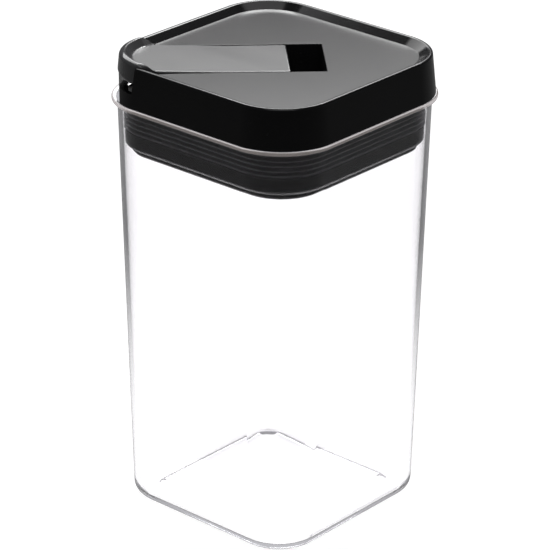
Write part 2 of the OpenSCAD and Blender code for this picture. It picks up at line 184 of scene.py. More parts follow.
def dished_slope(low: Point, high: Point, hollow_r: float, shoulder_r: float) -> list[Point]:
    """Slope that leaves one level in a hollow and meets a higher one over a shoulder.

    Args:
        low: Where the slope leaves the lower level, as offset and height.
        high: Where it meets the upper level, further out.
        hollow_r: Radius of the hollow.
        shoulder_r: Radius of the shoulder.

    Returns:
        The points from the high end to the low one.
    """
    both = hollow_r + shoulder_r
    run, rise = high[0] - low[0], high[1] - low[1] - both
    length = math.sqrt(run * run + rise * rise - both * both)
    slope = math.degrees(math.atan2(rise, run) + math.atan2(both, length))
    return arc((high[0], high[1] - shoulder_r), shoulder_r, 90, 90 + slope) + arc(
        (low[0], low[1] + hollow_r), hollow_r, slope - 90, -90
    )


# ---------------------------------------------------------------- solids


def sweep(outline: Sequence[Point], ring: bool = False, steps: int = 28) -> BMesh:
    """Carries an outline round a square: turned at each corner, straight along each side.

    Args:
        outline: Points as offset and height.
        ring: True for a closed outline, False for one whose ends lie at offset 0.
        steps: Steps round each corner.

    Returns:
        A closed solid in millimetres.
    """
    bm = bmesh.new()
    c = GAUGE.corner
    verts = [bm.verts.new((c + off, c, z)) for off, z in outline]
    edges = [bm.edges.new(pair) for pair in zip(verts, verts[1:])]
    if ring:
        edges.append(bm.edges.new((verts[-1], verts[0])))
    geom: list = verts + edges
    heading = Vector((-1.0, 0.0, 0.0))
    middle = Vector((c, c, 0.0))
    for _ in range(4):
        spun = bmesh.ops.spin(
            bm, geom=geom, cent=middle, axis=(0, 0, 1), angle=QUARTER, steps=steps)
        last = only(BMEdge, spun["geom_last"])
        drawn = bmesh.ops.extrude_edge_only(bm, edges=last)["geom"]
        verts = only(BMVert, drawn)
        bmesh.ops.translate(bm, vec=heading * 2 * c, verts=verts)
        ends = set(verts)
        geom = verts + [e for e in only(BMEdge, drawn) if ends.issuperset(e.verts)]
        middle += heading * 2 * c
        heading = Vector((-heading.y, heading.x, 0.0))
    close_up(bm)
    return bm


def only(kind: type, geom: Iterable) -> list:
    """The items of one kind among what an operator made."""
    return [item for item in geom if isinstance(item, kind)]


def close_up(bm: BMesh) -> None:
    """Welds a mesh, fills its openings and turns its faces outwards.

    Args:
        bm: The mesh, in millimetres.
    """
    bmesh.ops.remove_doubles(bm, verts=bm.verts, dist=WELD)
    open_edges = [e for e in bm.edges if len(e.link_faces) < 2]
    if open_edges:
        bmesh.ops.holes_fill(bm, edges=open_edges, sides=0)
    bmesh.ops.recalc_face_normals(bm, faces=bm.faces)


def slice_off(bm: BMesh, point: Vector, outwards: Vector) -> None:
    """Cuts away what lies beyond a plane, and closes the cut.

    Args:
        bm: Solid to cut.
        point: A point on the plane.
        outwards: Normal of the plane, towards what goes.
    """
    geom = list(bm.verts) + list(bm.edges) + list(bm.faces)
    bmesh.ops.bisect_plane(
        bm, geom=geom, dist=WELD, plane_co=point, plane_no=outwards, clear_outer=True
    )
    close_up(bm)


def lever_frame(u: float = 0.0, v: float = 0.0, z: float = 0.0) -> Matrix:
    """Frame at a point of the lever: X along it and Y across it."""
    return Matrix.Rotation(QUARTER / 2, 4, "Z") @ Matrix.Translation((u, v, z))


def along(u: float, v: float = 0.0, z: float = 0.0) -> Vector:
    """A point given along and across the lever."""
    return lever_frame(u, v, z).translation


def block(u: Point, v: Point, z: Point, turn: float = QUARTER / 2) -> BMesh:
    """Makes a block, along the lever or turned another way.

    Args:
        u: Low and high end along it.
        v: Low and high end across it.
        z: Low and high end upwards.
        turn: Turn of its length about Z, in radians from +X.

    Returns:
        The block.
    """
    bm = bmesh.new()
    size = [high - low for low, high in (u, v, z)]
    middle = [(low + high) / 2 for low, high in (u, v, z)]
    at = Matrix.Rotation(turn, 4, "Z") @ Matrix.Translation(middle)
    bmesh.ops.create_cube(bm, size=1, matrix=at @ Matrix.Diagonal((*size, 1)))
    return bm


def rod(at: Matrix, r: float, z: Point, sides: int = 48) -> BMesh:
    """Makes a cylinder.

    Args:
        at: Frame whose Z axis it follows.
        r: Radius.
        z: Low and high end in that frame.
        sides: Number of sides.

    Returns:
        The cylinder.
    """
    bm = bmesh.new()
    bmesh.ops.create_cone(
        bm, cap_ends=True, segments=sides, radius1=r, radius2=r, depth=z[1] - z[0],
        matrix=at @ Matrix.Translation((0, 0, (z[0] + z[1]) / 2)),
    )
    return bm


def prism(corners: Iterable[Vector], way: Vector) -> BMesh:
    """Draws a flat outline out into a solid.

    Args:
        corners: The outline's corners.
        way: Direction and length of the draw.

    Returns:
        The solid.
    """
    bm = bmesh.new()
    face = bm.faces.new([bm.verts.new(corner) for corner in corners])
    drawn = bmesh.ops.extrude_face_region(bm, geom=[face])["geom"]
    bmesh.ops.translate(bm, vec=way, verts=only(BMVert, drawn))
    close_up(bm)
    return bm


# ---------------------------------------------------------------- objects


def to_object(name: str, bm: BMesh) -> Object:
    """Turns a solid in millimetres into a smooth object in metres, at the origin.

    Args:
        name: Name of the object and its mesh.
        bm: The solid, used up by the call.

    Returns:
        The object.
    """
    bmesh.ops.scale(bm, vec=(MM, MM, MM), verts=bm.verts)
    mesh = bpy.data.meshes.new(name)
    bm.to_mesh(mesh)
    bm.free()
    mesh.shade_smooth()
    made = bpy.data.objects.new(name, mesh)
    bpy.context.scene.collection.objects.link(made)
    return made


def settle(piece: Object) -> None:
    """Applies a piece's modifiers to its mesh.

    Args:
        piece: The piece.
    """
    graph = bpy.context.evaluated_depsgraph_get()
    mesh = bpy.data.meshes.new_from_object(piece.evaluated_get(graph))
    old = piece.data
    piece.modifiers.clear()
    piece.data = mesh
    bpy.data.meshes.remove(old)


def combine(piece: Object, how: Join, tools: Iterable[BMesh]) -> None:
    """Adds solids to a piece, or cuts them from it.

    Args:
        piece: The piece that changes.
        how: Whether the solids are added or cut.
        tools: Solids in millimetres, used up by the call.
    """
    for bm in tools:
        tool = to_object("tool", bm)
        joiner = piece.modifiers.new("join", "BOOLEAN")
        joiner.operation = how.value
        joiner.solver = "EXACT"
        joiner.object = tool
        settle(piece)
        old = tool.data
        bpy.data.objects.remove(tool)
        bpy.data.meshes.remove(old)


@contextmanager
def editing(piece: Object) -> Iterator[BMesh]:
    """Opens a piece's mesh, in metres, and stores it after the edit.

    Args:
        piece: The piece.

    Yields:
        The mesh to edit.
    """
    bm = bmesh.new()
    bm.from_mesh(piece.data)
    yield bm
    bm.to_mesh(piece.data)
    bm.free()


def merge_close(bm: BMesh, size: float) -> None:
    """Merges points that are closer together than a size in millimetres."""
    bmesh.ops.remove_doubles(bm, verts=bm.verts, dist=size * MM)
    bmesh.ops.dissolve_degenerate(bm, edges=bm.edges, dist=size * MM)


def tidy(piece: Object, flat: float = 0.5, weld: float = 0.005) -> None:
    """Merges what a boolean left: points close together, and edges inside a flat face.

    Args:
        piece: The piece.
        flat: Angle in degrees below which two faces count as one.
        weld: Distance below which points merge, in millimetres.
    """
    with editing(piece) as bm:
        merge_close(bm, weld)
        bmesh.ops.dissolve_limit(
            bm, angle_limit=math.radians(flat), verts=bm.verts, edges=bm.edges
        )
        bmesh.ops.recalc_face_normals(bm, faces=bm.faces)
    piece.data.shade_smooth()


def drop_slivers(piece: Object, size: float = 0.003) -> None:
    """Merges what is very thin, and deletes what hangs loose.

    Args:
        piece: The piece.
        size: Thickness below which it merges, in millimetres.
    """
    with editing(piece) as bm:
        merge_close(bm, size)
        loose = [vert for vert in bm.verts if not vert.link_faces]
        bmesh.ops.delete(bm, geom=loose, context="VERTS")


def mark_edges(piece: Object, angle: float, shortest: float) -> None:
    """Marks a piece's sharp edges for rounding, and keeps its seam with the rim crisp.

    Args:
        piece: The piece.
        angle: Smallest angle between two faces whose edge is marked, in degrees.
        shortest: Length below which an edge stays as it is, in millimetres.
    """
    with editing(piece) as bm:
        weight = bm.edges.layers.float.new("bevel_weight_edge")
        for edge in bm.edges:
            if len(edge.link_faces) == 2 and edge.calc_face_angle() > math.radians(angle):
                if all(GAUGE.on_seam(vert.co / MM) for vert in edge.verts):
                    edge.smooth = False
                elif edge.calc_length() > shortest * MM:
                    edge[weight] = 1.0


def soften(
    piece: Object, width: float, segments: int = 3, angle: float = 32.0, shortest: float = 0.0
) -> None:
    """Rounds a piece's sharp edges, and evens its shading.

    Args:
        piece: The piece.
        width: Width of the rounding, in millimetres; 0 leaves the edges as they are.
        segments: Steps across the rounding.
        angle: Smallest angle between two faces whose edge is rounded, in degrees.
        shortest: Length below which an edge stays as it is, in millimetres.
    """
    if width > 0:
        mark_edges(piece, angle, shortest)
        round_off = piece.modifiers.new("edges", "BEVEL")
        round_off.width = width * MM
        round_off.segments = segments
        round_off.limit_method = "WEIGHT"
        round_off.use_clamp_overlap = True
        settle(piece)
        drop_slivers(piece)
    even = piece.modifiers.new("shading", "WEIGHTED_NORMAL")
    even.keep_sharp = True
    even.mode = "FACE_AREA"


def place(piece: Object, body: Body, slot: Slot, finish: "Finish", *nodes: str) -> None:
    """Dresses a piece and hangs it on its body.

    Args:
        piece: The finished mesh.
        body: Body that it moves with.
        slot: Slot of the record that its finish stands for; not used.
        finish: Its finish.
        nodes: CAD nodes that it stands for.
    """
    piece.data.materials.clear()
    piece.data.materials.append(finish.material())
    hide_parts(*nodes)
    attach(piece, body.value)
    LOG.info("%s: %d faces, on %s", piece.name, len(piece.data.polygons), body.value)


# ---------------------------------------------------------------- finishes


def wire(tree: NodeTree, node: Node, **given: Feed) -> Node:
    """Fills a node's inputs.

    Args:
        tree: Tree that holds the node.
        node: The node.
        given: Values or sockets by the input's name, with an underscore for a space.

    Returns:
        The node.
    """
    for label, value in given.items():
        feed(tree, node.inputs[label.replace("_", " ")], value)
    return node


def feed(tree: NodeTree, socket: NodeSocket, value: Feed) -> None:
    """Gives an input its value, or links it.

    Args:
        tree: Tree that holds the node.
        socket: The input.
        value: A number, a colour, a vector, or the output to link.
    """
    if isinstance(value, NodeSocket):
        tree.links.new(value, socket)
    else:
        socket.default_value = value


def add(tree: NodeTree, kind: str, **given: Feed) -> Node:
    """Adds a shader node of a kind, and fills its inputs as wire does."""
    return wire(tree, tree.nodes.new("ShaderNode" + kind), **given)


def spot(tree: NodeTree) -> NodeSocket:
    """The surface's own point, in metres from the origin."""
    return add(tree, "TexCoord").outputs["Object"]


def calc(tree: NodeTree, operation: str, *values: Feed, kind: str = "Math") -> NodeSocket:
    """Adds a node that calculates.

    Args:
        tree: Tree that gets the node.
        operation: The node's operation.
        values: Its inputs in order.
        kind: Math, or VectorMath for one that takes vectors.

    Returns:
        The number that it puts out.
    """
    node = add(tree, kind)
    node.operation = operation
    for socket, value in zip(node.inputs, values):
        feed(tree, socket, value)
    return node.outputs["Value"]


def swing(tree: NodeTree, pattern: NodeSocket, width: Feed) -> NodeSocket:
    """Turns a pattern from 0 to 1 into one of a given width about 0."""
    return calc(tree, "MULTIPLY", calc(tree, "SUBTRACT", pattern, 0.5), width)


def fade(tree: NodeTree, value: NodeSocket, low: Feed, high: Feed) -> NodeSocket:
    """Adds a smooth step.

    Args:
        tree: Tree that gets the node.
        value: The number that varies.
        low: Where the step leaves 0.
        high: Where it reaches 1.

    Returns:
        The step.
    """
    node = add(tree, "MapRange", Value=value, From_Min=low, From_Max=high)
    node.interpolation_type = "SMOOTHSTEP"
    return node.outputs["Result"]


def colour_mix(tree: NodeTree, share: NodeSocket, low: Feed, high: Feed) -> NodeSocket:
    """Adds a colour Mix node.

    Args:
        tree: Tree that gets the node.
        share: Share of the second colour.
        low: First colour or socket.
        high: Second colour or socket.

    Returns:
        The mixed colour.
    """
    mix = add(tree, "Mix", Factor=share)
    mix.data_type = "RGBA"
    for name, value in (("A", low), ("B", high)):
        feed(tree, next(s for s in mix.inputs if s.name == name and s.type == "RGBA"), value)
    return next(s for s in mix.outputs if s.type == "RGBA")


def noise(
    tree: NodeTree, scale: Feed, stretch: Sequence[float] = (1, 1, 1),
    turn: float = 0.0, detail: float = 2.0,
) -> NodeSocket:
    """Adds a noise pattern on object coordinates.

    Args:
        tree: Tree that gets the nodes.
        scale: Scale of the noise, per metre.
        stretch: Scale of the coordinates along X, Y and Z.
        turn: Turn of the coordinates about Z, in radians.
        detail: Octaves of the noise.

    Returns:
        The noise value, from 0 to 1.
    """
    mapping = add(tree, "Mapping", Vector=spot(tree), Scale=stretch, Rotation=(0, 0, turn))
    return add(tree, "TexNoise", Vector=mapping.outputs["Vector"], Scale=scale,
               Detail=detail).outputs["Fac"]


class Effect:
    """A shared surface effect, built once as a shader group of number sockets."""

    name: ClassVar[str]
    inputs: ClassVar[dict[str, float]]

    def tree(self) -> NodeTree:
        """The group, built on its first use."""
        made = bpy.data.node_groups.get(self.name)
        if made is None:
            made = bpy.data.node_groups.new(self.name, "ShaderNodeTree")
            for label, value in self.inputs.items():
                socket = made.interface.new_socket(
                    label, in_out="INPUT", socket_type="NodeSocketFloat")
                socket.default_value = value
            drawn = self.draw(made, made.nodes.new("NodeGroupInput").outputs)
            for label in drawn:
                made.interface.new_socket(label, in_out="OUTPUT", socket_type="NodeSocketFloat")
            wire(made, made.nodes.new("NodeGroupOutput"), **drawn)
        return made

    def draw(self, tree: NodeTree, given: Sockets) -> dict[str, NodeSocket]:
        """Adds the effect's own nodes.

        Args:
            tree: The group.
            given: The group's inputs, by name.

        Returns:
            What the group puts out, by name.
        """
        raise NotImplementedError


class Handling(Effect):
    """Roughness of a surface in use: soft patches, and fine grain over them."""

    name = "handling"
    inputs = {"Roughness": 0.3, "Patches": 0.05, "Grain": 0.02, "Grain Scale": 2500.0}
    patch_scale = 38.0

    def draw(self, tree: NodeTree, given: Sockets) -> dict[str, NodeSocket]:
        """Mixes wide patches and fine grain into a roughness and a height."""
        grain = noise(tree, given["Grain Scale"])
        wide = swing(tree, noise(tree, self.patch_scale, detail=3.0), given["Patches"])
        both = calc(tree, "ADD", wide, swing(tree, grain, given["Grain"]))
        return {"Roughness": calc(tree, "ADD", both, given["Roughness"]), "Height": grain}


class Dust(Effect):
    """Faint settled dust, as a mask of small specks."""

    name = "dust"
    inputs = {"Amount": 0.2, "Speck Scale": 900.0}
    peak = 0.71
    drift_scale = 30.0

    def draw(self, tree: NodeTree, given: Sockets) -> dict[str, NodeSocket]:
        """Keeps the peaks of a fine noise, thinned by a wide one."""
        specks = calc(tree, "GREATER_THAN", noise(tree, given["Speck Scale"]), self.peak)
        thin = calc(tree, "MULTIPLY", noise(tree, self.drift_scale), given["Amount"])
        return {"Mask": calc(tree, "MULTIPLY", specks, thin)}


class Ripple(Effect):
    """Slow ripple of a moulded or drawn surface."""

    name = "ripple"
    inputs = {"Scale": 60.0}

    def draw(self, tree: NodeTree, given: Sockets) -> dict[str, NodeSocket]:
        """Puts out a wide, smooth noise."""
        return {"Height": noise(tree, given["Scale"], detail=0.0)}


class PaintedRimLight(Effect):
    """Mask of a clear wall's rolled rim, where painted glow and painted shade go."""

    name = "painted rim light"
    inputs = {"Low": 0.1706, "Reach": 0.0242}

    def draw(self, tree: NodeTree, given: Sockets) -> dict[str, NodeSocket]:
        """Masks what lies above a height and outside a square."""
        parts = add(tree, "SeparateXYZ", Vector=spot(tree)).outputs
        squares = []
        for axis in "XY":
            side = calc(tree, "SUBTRACT", calc(tree, "ABSOLUTE", parts[axis]), GAUGE.corner * MM)
            past = calc(tree, "MAXIMUM", side, 0.0)
            squares.append(calc(tree, "MULTIPLY", past, past))
        off = calc(tree, "SQRT", calc(tree, "ADD", *squares))
        high = calc(tree, "GREATER_THAN", parts["Z"], given["Low"])
        outside = calc(tree, "GREATER_THAN", off, given["Reach"])
        return {"Mask": calc(tree, "MULTIPLY", high, outside)}


class Streaks(Effect):
    """Soft streaks that run along the lever, or along the brushing of a metal."""

    name = "streaks"
    inputs = {"Scale": 60.0}
    stretch = (0.12, 1.0, 1.0)

    def draw(self, tree: NodeTree, given: Sockets) -> dict[str, NodeSocket]:
        """Stretches a noise along the lever."""
        drawn = noise(tree, given["Scale"], self.stretch, -QUARTER / 2, detail=3.0)
        return {"Value": drawn}


class Polish(Effect):
    """Wear by the fingers, which polish the lever's hook."""

    name = "polish"
    inputs = {"From": 0.0555, "To": 0.058}

    def draw(self, tree: NodeTree, given: Sockets) -> dict[str, NodeSocket]:
        """Fades in along the lever, towards its hook."""
        reach = calc(tree, "DOT_PRODUCT", spot(tree), (-DIAGONAL / 2, -DIAGONAL / 2, 0.0),
                     kind="VectorMath")
        return {"Mask": fade(tree, reach, given["From"], given["To"])}


class Finish:
    """A material, built once and shared by the pieces that have it."""

    name: str

    def material(self) -> Material:
        """The material, built on its first use."""
        made = bpy.data.materials.get(self.name)
        if made is None:
            made = bpy.data.materials.new(self.name)
            made.use_nodes = True
            tree = made.node_tree
            self.draw(tree, tree.nodes["Principled BSDF"])
        return made

    def draw(self, tree: NodeTree, shader: Node) -> None:
        """Sets the shader's values and adds the finish's own nodes.

        Args:
            tree: The material's tree.
            shader: Its shader.
        """
        raise NotImplementedError

    @staticmethod
    def effect(tree: NodeTree, effect: Effect, **values: float) -> Sockets:
        """Places an effect in a material.

        Args:
            tree: The material's tree.
            effect: The effect.
            values: Values for its inputs, with an underscore for a space.

        Returns:
            Its outputs, by name.
        """
        node = add(tree, "Group")
        node.node_tree = effect.tree()
        return wire(tree, node, **values).outputs

    @staticmethod
    def bump(tree: NodeTree, height: NodeSocket, strength: float, depth: float) -> NodeSocket:
        """The normal that a height gives, at a strength and a depth in metres."""
        return add(tree, "Bump", Height=height, Strength=strength,
                   Distance=depth).outputs["Normal"]


@dataclass(frozen=True)
class Plastic(Finish):
    """Opaque moulded plastic or rubber, from glossy to matte."""

    name: str
    colour: Colour
    roughness: float
    patches: float = 0.04
    grain: float = 0.03
    grain_scale: float = 2500.0
    relief: float = 0.05
    relief_depth: float = 0.00004
    specular: float = 0.5
    dust: float = 0.0
    dust_colour: Colour = (0.35, 0.34, 0.33, 1.0)
    sheen: float = 0.0
    streaks: float = 0.0
    streak_scale: float = 90.0
    polish: float = 0.0

    def draw(self, tree: NodeTree, shader: Node) -> None:
        """Sets colour and gloss, and adds handling, dust and streaks."""
        handling = self.effect(
            tree, Handling(), Roughness=self.roughness, Patches=self.patches,
            Grain=self.grain, Grain_Scale=self.grain_scale,
        )
        roughness = handling["Roughness"]
        if self.streaks > 0:
            drawn = self.effect(tree, Streaks(), Scale=self.streak_scale)["Value"]
            roughness = calc(tree, "ADD", roughness, swing(tree, drawn, self.streaks))
        if self.polish > 0:
            worn = calc(tree, "MULTIPLY", self.effect(tree, Polish())["Mask"], self.polish)
            roughness = calc(tree, "SUBTRACT", roughness, worn)
        mask = self.effect(tree, Dust(), Amount=self.dust)["Mask"]
        wire(
            tree, shader, Specular_IOR_Level=self.specular, Sheen_Weight=self.sheen,
            Roughness=roughness,
            Base_Color=colour_mix(tree, mask, self.colour, self.dust_colour),
            Normal=self.bump(tree, handling["Height"], self.relief, self.relief_depth),
        )


@dataclass(frozen=True)
class Clear(Finish):
    """Clear moulded wall with a slow ripple, painted glow inside it, and painted glow and
    painted shade on its rim.
    """

    name: str
    colour: Colour
    ior: float = 1.5
    ripple: float = 0.12
    ripple_depth: float = 0.0004
    ripple_scale: float = 45.0
    # The rim's glow colour is painted light: the rim glows although it is no lamp. The rim's
    # tint is painted shade that greys what is seen through the rim.
    painted_rim_glow: Colour = (0.14, 0.126, 0.121, 1.0)
    painted_rim_shade: Colour = (0.62, 0.57, 0.55, 1.0)
    rim_roughness: float = 0.25
    turns: float = 1.5
    # The glow colour below is painted light. The wall glows inside where a ray has turned back
    # in it more than turns times, in place of the light that the wall guides.
    painted_inside_glow: Colour = (0.14, 0.14, 0.146, 1.0)

    def draw(self, tree: NodeTree, shader: Node) -> None:
        """Sets a clear, faintly tinted body, with painted glow where a ray has turned back
        inside it, and painted glow and painted shade on its rim.
        """
        # This mask puts painted glow in Emission Color and painted shade in Base Color on the
        # rim.
        rim = self.effect(tree, PaintedRimLight())["Mask"]
        wave = self.effect(tree, Ripple(), Scale=self.ripple_scale)["Height"]
        # Painted glow: emission wherever a ray has turned back inside the wall more than turns
        # times.
        depth = add(tree, "LightPath").outputs["Glossy Depth"]
        painted_glow_mask = calc(tree, "GREATER_THAN", depth, self.turns)
        inner = colour_mix(tree, painted_glow_mask, (0.0, 0.0, 0.0, 1.0), self.painted_inside_glow)
        wire(
            tree, shader, Transmission_Weight=1.0, IOR=self.ior, Emission_Strength=1.0,
            Base_Color=colour_mix(tree, rim, self.colour, self.painted_rim_shade),
            Emission_Color=colour_mix(tree, rim, inner, self.painted_rim_glow),
            Roughness=calc(tree, "MULTIPLY", rim, self.rim_roughness),
            Normal=self.bump(tree, wave, self.ripple, self.ripple_depth),
        )


@dataclass(frozen=True)
class Metal(Finish):
    """Brushed metal."""

    name: str
    colour: Colour
    roughness: float = 0.25
    streaks: float = 0.2
    streak_scale: float = 1500.0
    relief: float = 0.15
    relief_depth: float = 0.00003

    def draw(self, tree: NodeTree, shader: Node) -> None:
        """Sets a metal whose roughness follows its brushing."""
        brushed = self.effect(tree, Streaks(), Scale=self.streak_scale)["Value"]
        wire(
            tree, shader, Base_Color=self.colour, Metallic=1.0,
            Roughness=calc(tree, "ADD", swing(tree, brushed, self.streaks), self.roughness),
            Normal=self.bump(tree, brushed, self.relief, self.relief_depth),
        )


def seen_through(tree: NodeTree, near: Feed = 1.0, gain: float = 1.2) -> NodeSocket:
    """Tells a straight or clear view from a mirrored one.

    Args:
        tree: The material or world it is for.
        near: 1 where light that also turned back inside a wall counts.
        gain: Gain of what is seen through clear walls.

    Returns:
        1 where a surface is seen straight, the gain through clear walls, else 0.
    """
    path = add(tree, "LightPath").outputs
    turns = calc(tree, "ADD", path["Diffuse Depth"], path["Glossy Depth"])
    unturned = calc(tree, "LESS_THAN", turns, 0.5)
    clear = calc(tree, "MAXIMUM", unturned, near)
    through = calc(tree, "MULTIPLY", path["Is Transmission Ray"], clear)
    return calc(tree, "MAXIMUM", path["Is Camera Ray"], calc(tree, "MULTIPLY", through, gain))


@dataclass(frozen=True)
class Ground(Finish):
    """Pale floor that looks evenly lit, and that glossy walls mirror as a dim room's floor."""

    name: str
    colour: Colour
    glow: float
    near_r: float = 0.07
    far_r: float = 0.3
    roughness: float = 0.9
    specular: float = 0.1

    def draw(self, tree: NodeTree, shader: Node) -> None:
        """Sets a matte body that glows where it is seen straight or through a clear wall."""
        reach = calc(tree, "LENGTH", spot(tree), kind="VectorMath")
        seen = seen_through(tree, fade(tree, reach, self.far_r, self.near_r))
        wire(
            tree, shader, Base_Color=self.colour, Roughness=self.roughness,
            Specular_IOR_Level=self.specular, Emission_Color=(1.0, 1.0, 1.0, 1.0),
            Emission_Strength=calc(tree, "MULTIPLY", seen, self.glow),
        )


CLEAR_WALL = Clear("clear wall", (0.978, 0.97, 0.985, 1.0))
GLOSS_BLACK = Plastic(
    "gloss black", (0.003, 0.003, 0.0032, 1.0), 0.14, patches=0.03, grain=0.01,
    grain_scale=900.0, relief=0.004, specular=0.4, dust=0.04,
)
CUP_BLACK = Plastic(
    "cup black", (0.003, 0.003, 0.0034, 1.0), 0.07, patches=0.02, grain=0.0, relief=0.0,
    specular=0.4,
)
SATIN_PLATE = Plastic(
    "satin plate", (0.009, 0.009, 0.0095, 1.0), 0.2, patches=0.03, grain=0.04,
    grain_scale=3200.0, relief=0.03, dust=0.1,
)
SATIN_LEVER = Plastic(
    "satin lever", (0.052, 0.052, 0.053, 1.0), 0.24, patches=0.03, grain=0.04,
    grain_scale=3200.0, relief=0.03, specular=0.8, dust=0.08, streaks=0.1, polish=0.17,
)
HOUSING_BLACK = Plastic(
    "housing black", (0.012, 0.012, 0.013, 1.0), 0.48, patches=0.06, grain=0.08, relief=0.12,
)
SILICONE_BLACK = Plastic(
    "silicone black", (0.006, 0.006, 0.0065, 1.0), 0.36, patches=0.05, grain=0.05, relief=0.03,
    sheen=0.05, dust=0.1,
)
STEM_GREY = Plastic(
    "stem grey", (0.08, 0.08, 0.085, 1.0), 0.36, patches=0.05, grain=0.06, relief=0.08,
)
PALE_FLOOR = Ground("pale floor", (0.14, 0.14, 0.14, 1.0), 0.95)
STEEL = Metal("brushed steel", (0.62, 0.61, 0.6, 1.0))


# ---------------------------------------------------------------- sub-assemblies


@dataclass
class Vessel:
    """The clear canister: tapered walls on a rounded foot, with a flange round the mouth."""

    wall: float = 1.8
    floor: float = 3.0
    foot_edge_r: float = 5.0
    fillet_r: float = 3.0
    hollow: float = 0.8
    ring: float = 5.0
    flange_off: float = 24.8
    flange: float = 1.8
    flange_edge_r: float = 0.7

    def inner(self, z: float) -> float:
        """Offset of the inner wall at a height."""
        return GAUGE.wall_out(z) - self.wall

    def outline(self) -> list[Point]:
        """Section through the foot, the wall and the flange, ending on the floor."""
        ring_in = GAUGE.foot_off - self.foot_edge_r - self.ring
        top, under = GAUGE.mouth_z, GAUGE.mouth_z - self.flange
        fillet_z = self.floor + self.fillet_r
        edge, r = self.flange_off, self.flange_edge_r
        root = 0.5
        return (
            [(0, self.hollow), (ring_in - self.hollow, self.hollow), (ring_in, 0)]
            + arc((GAUGE.wall_out(self.foot_edge_r) - self.foot_edge_r, self.foot_edge_r),
                  self.foot_edge_r, -90, 0, 10)
            + arc((GAUGE.wall_out(under) + root, under - root), root, 180, 90, 4)
            + arc((edge - r, under + r), r, -90, 0)
            + arc((edge - r, top - r), r, 0, 90)
            + arc((self.inner(top) + root, top - root), root, 90, 180, 4)
            + arc((self.inner(fillet_z) - self.fillet_r, fillet_z), self.fillet_r, 0, -90, 10)
            + [(0, self.floor)]
        )

    def build(self) -> None:
        """Makes the canister and stands it on the base."""
        piece = to_object("vessel", sweep(self.outline()))
        soften(piece, 0)
        place(piece, Body.BASE, Slot.CLEAR, CLEAR_WALL, "canister")


@dataclass
class Shell:
    """The glossy lid: leaning sides, a rounded rim, and a stepped notch for the lever's hook."""

    wall: float = 2.0
    edge_r: float = 0.9
    crest: float = 0.2
    hollow_r: float = 0.6
    shoulder_r: float = 1.4
    ledge: float = 1.5
    ledge_width: float = 2.4
    plate: float = 2.0
    notch_half: float = 15.7
    finger_flat_u: float = 59.98
    step_back_u: float = 56.48
    post_reach: float = 35.166
    post_r: float = 3.5
    post_foot_z: float = 163.7
    post_lap: float = 0.1
    edge_softness: float = 0.3

    def outline(self) -> list[Point]:
        """Section through the side, the rim and the ledge."""
        top_off = GAUGE.rim_off - self.edge_r
        under = GAUGE.plate_z - self.plate
        low = under - self.ledge
        ledge_off = GAUGE.plate_off - self.ledge_width
        return (
            [(GAUGE.lid_off - self.wall, GAUGE.mouth_z), (GAUGE.lid_off, GAUGE.mouth_z)]
            + arc((top_off, GAUGE.rim_z - self.edge_r), self.edge_r, 6, 90, 8)
            + dished_slope((GAUGE.plate_off, GAUGE.plate_z), (top_off - self.crest, GAUGE.rim_z),
                           self.hollow_r, self.shoulder_r)
            + [(GAUGE.plate_off, under), (ledge_off, under), (ledge_off, low),
               (GAUGE.lid_out(low) - self.wall, low)]
        )

    def corner_fill(self) -> BMesh:
        """Solid corner below the hook, before its top is cut level."""
        inset, rise = 0.05, 2.0
        top = GAUGE.step_z + rise
        bm = sweep(
            [(0, GAUGE.mouth_z + inset), (GAUGE.lid_off - inset, GAUGE.mouth_z + inset),
             (GAUGE.lid_out(top) - inset, top), (0, top)], steps=20)
        slice_off(bm, along(-self.step_back_u), along(1))
        for side in (-1, 1):
            slice_off(bm, along(0, side * (self.notch_half + rise)), along(0, side))
        return bm

    def posts(self) -> list[BMesh]:
        """The four posts that take the lid's screws, each with a rib to the ledge."""
        top = GAUGE.plate_z - self.plate - self.ledge + LAP
        ledge_x = GAUGE.corner + GAUGE.plate_off - self.ledge_width + self.post_lap
        half = self.wall / 2
        made = []
        for side in range(4):
            at = Matrix.Rotation(QUARTER * side, 4, "Z") @ Matrix.Translation(
                (self.post_reach, 0, 0))
            made.append(rod(at, self.post_r, (self.post_foot_z, top)))
            made.append(block((self.post_reach, ledge_x), (-half, half),
                              (GAUGE.mouth_z + self.wall, top), QUARTER * side))
        return made

    def build(self) -> None:
        """Makes the shell, cuts the notch and the finger flat, and seats it on the lid."""
        piece = to_object("shell", sweep(self.outline(), ring=True))
        combine(piece, Join.ADD, [self.corner_fill(), *self.posts()])
        half = (-self.notch_half, self.notch_half)
        combine(piece, Join.CUT, [
            block((-BEYOND, -GAUGE.corner_u), half, (GAUGE.step_z, BEYOND * 2)),
            block((-BEYOND, -self.finger_flat_u), half,
                  (GAUGE.mouth_z - PAST, GAUGE.step_z + PAST)),
        ])
        tidy(piece)
        soften(piece, self.edge_softness)
        place(piece, Body.LID, Slot.SHELL, GLOSS_BLACK, "lid_shell")


